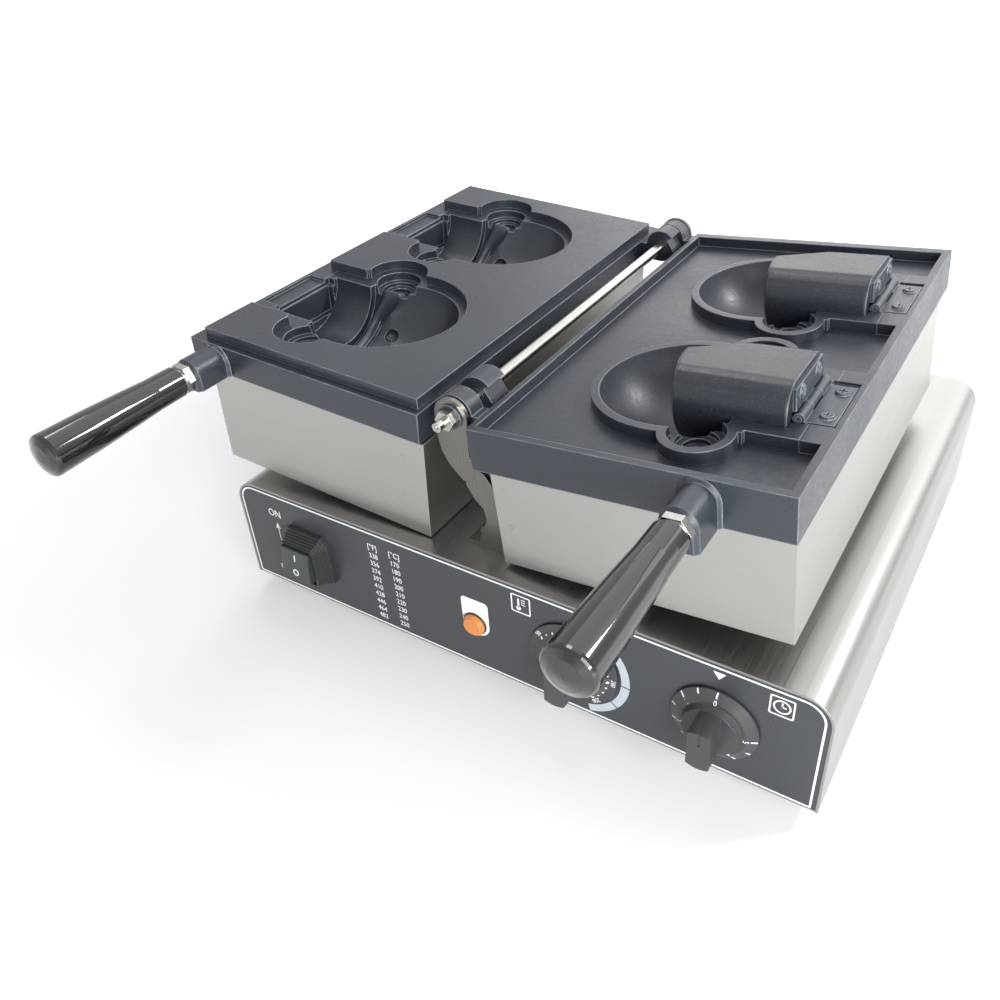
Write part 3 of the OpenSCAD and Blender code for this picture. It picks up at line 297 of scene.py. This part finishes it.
class Ink:
    """Thin closed tiles laid on a surface given by place(u, v, lift), in millimetres."""

    def __init__(self, place, lift=0.09):
        self.bm = bmesh.new()
        self.place = place
        self.lift = lift

    def loop(self, pts, lift):
        return [self.bm.verts.new(self.place(u, v, lift)) for u, v in pts]

    def band(self, left, right, closed=False):
        """A tile between two rows of points."""
        rows = [self.loop(p, h) for h in (self.lift, SUNK) for p in (left, right)]
        n = len(left)
        spans = [(i, (i + 1) % n) for i in range(n if closed else n - 1)]
        for i, j in spans:
            for a, b in ((0, 1), (1, 3), (3, 2), (2, 0)):
                self.bm.faces.new((rows[a][i], rows[b][i], rows[b][j], rows[a][j]))
        if not closed:
            for i in (0, n - 1):
                self.bm.faces.new((rows[0][i], rows[2][i], rows[3][i], rows[1][i]))

    def patch(self, pts):
        """A tile with a convex outline."""
        front, back = self.loop(pts, self.lift), self.loop(pts, SUNK)
        self.bm.faces.new(front)
        self.bm.faces.new(back[::-1])
        for i in range(len(pts)):
            j = (i + 1) % len(pts)
            self.bm.faces.new((front[j], front[i], back[i], back[j]))

    def line(self, u0, v0, u1, v1, w):
        d = Vector((u1 - u0, v1 - v0)).normalized() * w / 2
        self.patch([(u0 + d.y, v0 - d.x), (u1 + d.y, v1 - d.x), (u1 - d.y, v1 + d.x),
                    (u0 - d.y, v0 + d.x)])

    def arc(self, u, v, r0, r1, a0, a1, step=4.0):
        n = max(2, math.ceil(abs(a1 - a0) / step))
        turn = [math.radians(a0 + (a1 - a0) * i / n) for i in range(n + 1)]
        full = abs(abs(a1 - a0) - 360) < 1e-6
        turn = turn[:-1] if full else turn
        self.band([(u + r0 * math.cos(a), v + r0 * math.sin(a)) for a in turn],
                  [(u + r1 * math.cos(a), v + r1 * math.sin(a)) for a in turn], full)

    def disc(self, u, v, r, n=20):
        self.patch(ring_points(u, v, r, n))

    def text(self, words, u, v, height, turn=0.0, narrow=0.86):
        """Lettering of the given capital height, centred on (u, v) and turned in degrees."""
        curve = bpy.data.curves.new("line", "FONT")
        curve.body, curve.extrude, curve.resolution_u = words, 0.5, 3
        obj = bpy.data.objects.new("line", curve)
        mesh = bpy.data.meshes.new_from_object(obj)
        xs = [w.co.x for w in mesh.vertices]
        k = height / CAP
        mid = (min(xs) + max(xs)) / 2
        c, s = math.cos(math.radians(turn)), math.sin(math.radians(turn))
        made = []
        for w in mesh.vertices:
            x, y = (w.co.x - mid) * k * narrow, (w.co.y - CAP / 2) * k
            made.append(self.bm.verts.new(self.place(
                u + x * c - y * s, v + x * s + y * c, self.lift if w.co.z > 0 else SUNK)))
        for q in mesh.polygons:
            self.bm.faces.new([made[i] for i in q.vertices])
        bpy.data.objects.remove(obj)
        bpy.data.curves.remove(curve)
        bpy.data.meshes.remove(mesh)

    def done(self, name, body, mat):
        bmesh.ops.remove_doubles(self.bm, verts=self.bm.verts[:], dist=1e-7)
        return finished(self.bm, name, body, mat)


def finished(bm, name, body, mat, smooth=False):
    """The bmesh as an object that rides on a body and takes the given material."""
    bmesh.ops.recalc_face_normals(bm, faces=bm.faces[:])
    mesh = bpy.data.meshes.new(name)
    bm.to_mesh(mesh)
    bm.free()
    for q in mesh.polygons:
        q.use_smooth = smooth
    obj = bpy.data.objects.new(name, mesh)
    bpy.context.scene.collection.objects.link(obj)
    obj.data.materials.append(mat)
    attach(obj, body)
    return obj


def rounded(x0, z0, x1, z1, top, low, n=8):
    """A rectangle with rounded corners, anticlockwise from the low left one."""
    pts = []
    for cx, cz, r, a in ((x0 + low, z0 + low, low, 180), (x1 - low, z0 + low, low, 270),
                         (x1 - top, z1 - top, top, 0), (x0 + top, z1 - top, top, 90)):
        for i in range(n + 1):
            t = math.radians(a + 90 * i / n)
            pts.append((cx + r * math.cos(t), cz + r * math.sin(t)))
    return pts


def on_panel(u, v, h):
    return BASE @ Vector((u, -h, v))


def ring_points(cx, cy, r, n):
    """n points evenly round a circle."""
    return [(cx + r * math.cos(math.tau * i / n), cy + r * math.sin(math.tau * i / n))
            for i in range(n)]


def joined(bm, rings, closed=False):
    """Quads between each ring of vertices and the next, round again to the first if closed."""
    follow = rings[1:] + (rings[:1] if closed else [])
    for one, two in zip(rings, follow):
        for i in range(len(one)):
            j = (i + 1) % len(one)
            bm.faces.new((one[i], one[j], two[j], two[i]))


INK_WHITE = plastic("print_white", "e9ecee", 0.4, 0.03, 0.00001, 900.0, 0.0001)
INK_GREY = plastic("print_grey", "b4bac0", 0.4, 0.05, 0.00001, 900.0, 0.0001)
TEMP_X, TIMER_X, KNOB_Z = 60.0, 148.5, 39.5


def panel_print():
    ink = Ink(on_panel)
    # border line
    ink.band(rounded(-207, 2, 206, 81, 12.5, 0.6),
             rounded(-205.8, 3.2, 204.8, 79.8, 11.3, 0.5), True)
    # switch marks with an arrow up
    ink.text("ON", -177, 65.5, 6.2)
    ink.line(-176.5, 41, -176.5, 53.5, 0.8)
    ink.patch([(-178.6, 52), (-174.4, 52), (-176.5, 57)])
    ink.text("OFF", -177.5, 15.5, 6.2)
    # table of degrees
    for u, head, first, step in ((-89, "[°F]", 338, 18), (-71, "[°C]", 170, 10)):
        ink.text(head, u, 69.3, 4.6)
        for i in range(9):
            ink.text(str(first + i * step), u, 61.8 - 6.55 * i, 4.3)
    # plate round the lamp, frames of the two icons
    ink.patch(rounded(-20, 29, 0, 58.5, 3, 9.8))
    for u0 in (18.0, 176.0):
        ink.band(rounded(u0, 63, u0 + 13.5, 77, 1.2, 1.2),
                 rounded(u0 + 0.9, 63.9, u0 + 12.6, 76.1, 0.6, 0.6), True)
    # thermometer: stem, bulb and three marks
    ink.disc(23.2, 66.8, 1.7)
    ink.line(23.2, 67, 23.2, 74.2, 1.3)
    for v in (70.2, 72.0, 73.8):
        ink.line(25.2, v, 28.0, v, 0.6)
    # clock: ring and two hands
    ink.arc(182.8, 70, 3.9, 4.8, 0, 360, 15)
    ink.line(182.8, 69.7, 182.8, 73, 0.8)
    ink.line(182.5, 70, 185.2, 70, 0.8)
    # pointer over the timer knob
    ink.patch([(TIMER_X - 3.6, 77.3), (TIMER_X, 72.3), (TIMER_X + 3.6, 77.3)])
    ink.done("panel_marks", "base", INK_WHITE)
    ring = Ink(on_panel)
    for a0, a1 in ((36, -3.2), (-4.8, -38.2), (-39.8, -74)):
        ring.arc(TEMP_X + 1, KNOB_Z - 1, 30.4, 35.8, a0, a1)
    ring.patch([(TEMP_X + 27.6, 58.6), (TEMP_X + 31.2, 61.2), (TEMP_X + 27.2, 64.2)])
    ring.done("temp_scale_ring", "base", INK_GREY)


SKIRT_R, SKIRT_Y, BOSS_Y = 25.5, -2.0, -5.2      # knob skirt: edge radius, edge and boss heights
SKIRT_SLOPE = 3.2 / 6


def skirt_of(cx):
    """Places print on a knob: a flat rim outside the skirt, then the cone up to the boss."""
    def place(u, v, h):
        r = math.hypot(u, v)
        y = (SKIRT_Y - 0.05 if r > SKIRT_R
             else max(BOSS_Y, SKIRT_Y - (SKIRT_R - r) * SKIRT_SLOPE))
        return BASE @ Vector((cx + u, y - h, KNOB_Z + v))
    return place


def polar(r, degrees):
    a = math.radians(degrees)
    return r * math.cos(a), r * math.sin(a)


def temp_marks():
    """Numbers 50 to 250 with a dot each and three small dots between them."""
    dots, first, step, between = 23.9, 146, 50, 3
    ink = Ink(skirt_of(TEMP_X), 0.12)
    for i in range(5):
        a = first - step * i
        ink.text(str(50 + 50 * i), *polar(27.3, a), 3.2, a - 90)
        ink.disc(*polar(dots, a), 0.95, 14)
        for j in range(1, between + 1 if i < 4 else 1):
            ink.disc(*polar(dots, a - step / (between + 1) * j), 0.62, 12)
    ink.done("temp_knob_marks", "temp_knob", INK_WHITE)


def timer_marks():
    """Minutes 0 to 5 with a short line at each half."""
    ink = Ink(skirt_of(TIMER_X), 0.12)
    for i in range(11):
        a, whole = 88 + 27 * i, i % 2 == 0
        ink.line(*polar(22.0 if whole else 22.6, a), *polar(25.2, a), 0.9)
        if whole:
            ink.text(str(i // 2), *polar(19.6, a), 3.4, a - 90)
    ink.done("timer_knob_marks", "timer_knob", INK_WHITE)


def temp_rim():
    """Flat ring that widens the thermostat knob's skirt."""
    rim = bmesh.new()
    prof = [(25.3, -0.7), (29.3, -0.7), (29.5, -0.9), (29.5, -1.7), (29.2, -2.0), (25.3, -2.0)]
    rings = [[rim.verts.new(BASE @ Vector((x, y, z))) for x, z in
              ring_points(TEMP_X, KNOB_Z, r, 96)] for r, y in prof]
    joined(rim, rings, True)
    finished(rim, "temp_knob_rim", "temp_knob", MATS["knob_black"])


SWITCH_X, SWITCH_Z = -148, 39.5
ROCKER_Y, ROCKER_FACE, ROCKER_REST = 2, -18.5, math.radians(-7)


def rocker_marks():
    """Line and ring on the rocker's face, which leans by its rest tilt."""
    def place(u, v, h):
        y, z = ROCKER_FACE - h, v
        c, s = math.cos(ROCKER_REST), math.sin(ROCKER_REST)
        return BASE @ Vector((SWITCH_X + u, ROCKER_Y + y * c - z * s, SWITCH_Z + y * s + z * c))
    ink = Ink(place, 0.12)
    ink.line(0, 3.2, 0, 8.2, 1.0)
    ink.arc(0, -5.8, 1.7, 2.6, 0, 360, 18)
    ink.done("rocker_marks", "rocker", INK_WHITE)


# ---------- cavity relief and small marks on the halves, in millimetres ----------
CAV_Y, PITCH = 99.55, 144.0           # first cavity's middle and the step to the next
FIN_X, FIN_Y, FIN_FLOOR = 136, 48.5, -12.1
FACE_Z, CHANNEL_R = -0.2, 38.4        # plate face, and a radius just inside the channel's wall
HOUSE_Y = 12.0                        # front of the housings
WELDS = (("left", LEFT, ((31, -34), (33, -62))), ("right", RIGHT, ((35, -37), (37, -62))))


def gill(name, cy):
    """Raised lip across a left cavity's mouth channel: wide at the rear fin, fading in front."""
    # turn about the channel's axis, place along it, half width, radius of the crest
    rows = ((88, 133.0, 9.5, 34.6), (76, 135.5, 9.0, 32.6), (64, 139.0, 7.6, 31.6),
            (52, 141.8, 5.4, 31.3), (41, 142.8, 3.9, 31.3), (29, 142.2, 3.6, 31.3),
            (16, 141.7, 4.0, 31.4), (2, 141.5, 4.6, 31.8), (-12, 141.4, 5.2, 32.8),
            (-26, 141.2, 5.6, 34.4), (-40, 141.0, 5.6, 36.8))
    bm = bmesh.new()
    rings = []
    for turn, mid, half, crest in rows:
        a = math.radians(turn)
        foot = CHANNEL_R - 1.5
        prof = [(-half, CHANNEL_R), (-half, foot), (-half * 0.55, crest + 1.6),
                (-half * 0.2, crest), (half * 0.25, crest + 0.15), (half * 0.6, crest + 1.9),
                (half, foot), (half, CHANNEL_R)]
        rings.append([bm.verts.new(LEFT @ Vector((mid + u, cy + r * math.sin(a),
                                                  FACE_Z - r * math.cos(a)))) for u, r in prof])
    joined(bm, rings)
    bm.faces.new(rings[0])
    bm.faces.new(rings[-1][::-1])
    obj = finished(bm, name, "left_half", MATS["cast_plate"], True)
    sub = obj.modifiers.new("round", "SUBSURF")
    sub.levels = sub.render_levels = 2


def domes():
    """Low domes on the floors of the fin pockets."""
    for side, own in (("left", LEFT), ("right", RIGHT)):
        bm = bmesh.new()
        for cy in (CAV_Y, CAV_Y + PITCH):
            for s in (-1, 1):
                rings = []
                for k in range(6):
                    t = math.radians(90 * k / 5)
                    r, z = 5.6 * math.cos(t) + 0.02, FIN_FLOOR + 3.4 * math.sin(t)
                    rings.append([bm.verts.new(own @ Vector((x, y, z)))
                                  for x, y in ring_points(FIN_X, cy + FIN_Y * s, r, 28)])
                joined(bm, rings)
                bm.faces.new(rings[0])
                bm.faces.new(rings[-1])
        finished(bm, side + "_pocket_domes", side + "_half", MATS["cast_plate"],
                 True)


def weld_marks():
    """Faint rings of the spot welds on the housings' front faces."""
    for side, own, spots in WELDS:
        ink = Ink(lambda u, v, h, f=own: f @ Vector((u, HOUSE_Y - h, v)), 0.05)
        for u, v in spots:
            ink.arc(u, v, 1.5, 1.9, 0, 360, 18)
        ink.done(side + "_weld_marks", side + "_half", MATS["steel_zinc"])


for which, cav in (("front", CAV_Y), ("rear", CAV_Y + PITCH)):
    gill("left_%s_gill" % which, cav)
domes()
weld_marks()
panel_print()
temp_marks()
timer_marks()
temp_rim()
rocker_marks()


# ---------- studio ----------
WORLD_TONE, WORLD_FILL = (0.93, 0.96, 1.0, 1), 0.34
GLOSS_SHARE = 0.75                      # how white the background is in reflections
FLOOR_TONE, FLOOR_SIZE = (0.8, 0.8, 0.8, 1), 14
FLOOR_NEAR, FLOOR_FAR = 0.2, 0.95       # white added to the floor by the part and far from it
NEAR_R, FAR_R = 0.35, 1.1


def shown(t):
    """Share of the white background: whole to the camera and through glass, part in reflections."""
    path = t.nodes.new("ShaderNodeLightPath")
    gloss = t.nodes.new("ShaderNodeMath")
    gloss.operation = "MULTIPLY"
    t.links.new(path.outputs["Is Glossy Ray"], gloss.inputs[0])
    gloss.inputs[1].default_value = GLOSS_SHARE
    total = gloss
    for key in ("Is Camera Ray", "Is Transmission Ray"):
        top = t.nodes.new("ShaderNodeMath")
        top.operation = "MAXIMUM"
        t.links.new(total.outputs[0], top.inputs[0])
        t.links.new(path.outputs[key], top.inputs[1])
        total = top
    return total.outputs[0]


def surroundings():
    """Even light from all round, white where the background shows."""
    world = bpy.data.worlds.new("studio")
    bpy.context.scene.world = world
    world.use_nodes = True
    t = world.node_tree
    t.nodes.clear()
    out = t.nodes.new("ShaderNodeOutputWorld")
    seen = t.nodes.new("ShaderNodeBackground")
    seen.inputs["Color"].default_value = (1, 1, 1, 1)
    lit = t.nodes.new("ShaderNodeBackground")
    lit.inputs["Color"].default_value = WORLD_TONE
    lit.inputs["Strength"].default_value = WORLD_FILL
    mix = t.nodes.new("ShaderNodeMixShader")
    t.links.new(shown(t), mix.inputs[0])
    t.links.new(lit.outputs[0], mix.inputs[1])
    t.links.new(seen.outputs[0], mix.inputs[2])
    t.links.new(mix.outputs[0], out.inputs[0])


def floor_sheet():
    """Pale floor that keeps the shadow near the part and turns white further out."""
    bpy.ops.mesh.primitive_plane_add(size=FLOOR_SIZE)
    floor = bpy.context.object
    floor.name = "floor"
    paint = bpy.data.materials.new("floor")
    paint.use_nodes = True
    t = paint.node_tree
    base = t.nodes["Principled BSDF"]
    base.inputs["Base Color"].default_value = FLOOR_TONE
    base.inputs["Roughness"].default_value = 0.9
    place = t.nodes.new("ShaderNodeTexCoord")
    away = t.nodes.new("ShaderNodeVectorMath")
    away.operation = "LENGTH"
    t.links.new(place.outputs["Object"], away.inputs[0])
    fade = t.nodes.new("ShaderNodeMapRange")
    fade.interpolation_type = "SMOOTHSTEP"
    for key, value in (("From Min", NEAR_R), ("From Max", FAR_R),
                       ("To Min", FLOOR_NEAR), ("To Max", FLOOR_FAR)):
        fade.inputs[key].default_value = value
    t.links.new(away.outputs["Value"], fade.inputs["Value"])
    lift = t.nodes.new("ShaderNodeMath")
    lift.operation = "MULTIPLY"
    t.links.new(shown(t), lift.inputs[0])
    t.links.new(fade.outputs[0], lift.inputs[1])
    glow = t.nodes.new("ShaderNodeEmission")
    glow.inputs["Color"].default_value = (1, 1, 1, 1)
    t.links.new(lift.outputs[0], glow.inputs["Strength"])
    both = t.nodes.new("ShaderNodeAddShader")
    t.links.new(base.outputs[0], both.inputs[0])
    t.links.new(glow.outputs[0], both.inputs[1])
    t.links.new(both.outputs[0], t.nodes["Material Output"].inputs[0])
    floor.data.materials.append(paint)


MID = (0, 0, 0.12)
# name, place, aim, size in metres, watts
LAMPS = (("key_right", (1.6, -1.2, 1.15), MID, (1.3, 1.3), 33),
         ("back_soft", (0.2, 2.3, 1.1), MID, (3.0, 1.4), 22),
         ("front_fill", (0.8, -0.9, 0.25), (0.2, 0, 0.03), (0.4, 0.3), 9),
         ("bowl_spot", (1.0, 0.65, 1.02), MID, (0.26, 0.26), 9),
         ("streak_top", (-0.55, 0.3, 1.75), MID, (0.2, 0.9), 4),
         ("overhead", (0.1, 0.9, 1.9), MID, (2.2, 1.6), 10))


def lamps():
    for name, at, to, size, power in LAMPS:
        data = bpy.data.lights.new(name, "AREA")
        data.shape = "RECTANGLE"
        data.size, data.size_y = size
        data.energy = power
        lamp = bpy.data.objects.new(name, data)
        bpy.context.scene.collection.objects.link(lamp)
        lamp.location = at
        lamp.rotation_euler = (Vector(to) - Vector(at)).to_track_quat("-Z", "Y").to_euler()


surroundings()
floor_sheet()
lamps()
bpy.context.scene.view_settings.view_transform = "Standard"
